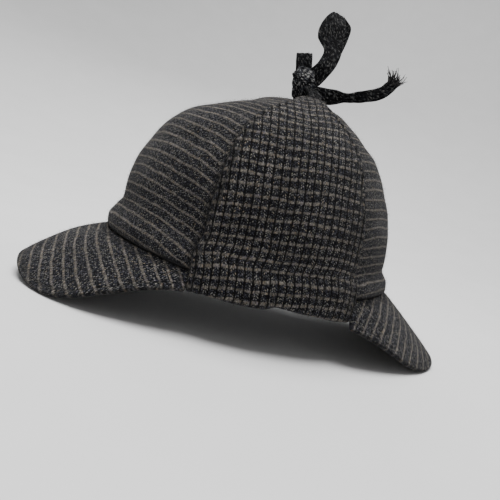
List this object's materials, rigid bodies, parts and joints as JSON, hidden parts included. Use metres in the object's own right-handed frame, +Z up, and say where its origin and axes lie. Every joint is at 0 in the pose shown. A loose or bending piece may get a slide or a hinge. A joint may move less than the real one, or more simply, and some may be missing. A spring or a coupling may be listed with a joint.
{
  "type": "deerstalker hat",
  "caption": "Cloth hunting hat with a rounded panelled crown, a peak front and back, and ear flaps folded up and tied in a bow on top.",
  "frame": {"origin": "on the surface that the hat rests on, under the middle of its bounding box", "axes": "+Z up, -Y towards the front peak, +X towards the wearer's left"},
  "size_m": [0.1696, 0.3216, 0.2335],
  "materials": {
    "tweed": "marled charcoal tweed with pale cross threads",
    "tape": "soft knitted tape"
  },
  "bodies": {
    "root": {"crown_front_left": "tweed", "crown_front_right": "tweed", "crown_side_left": "tweed", "crown_side_right": "tweed", "crown_back_left": "tweed", "crown_back_right": "tweed", "ear_flap_left": "tweed", "ear_flap_right": "tweed", "front_peak": "tweed", "rear_peak": "tweed", "tie_knot": "tape", "tie_base_left": "tape", "tie_base_right": "tape", "tie_loop_short": "tape", "tie_loop_tall": "tape", "tie_tail": "tape"}
  },
  "joints": []
}
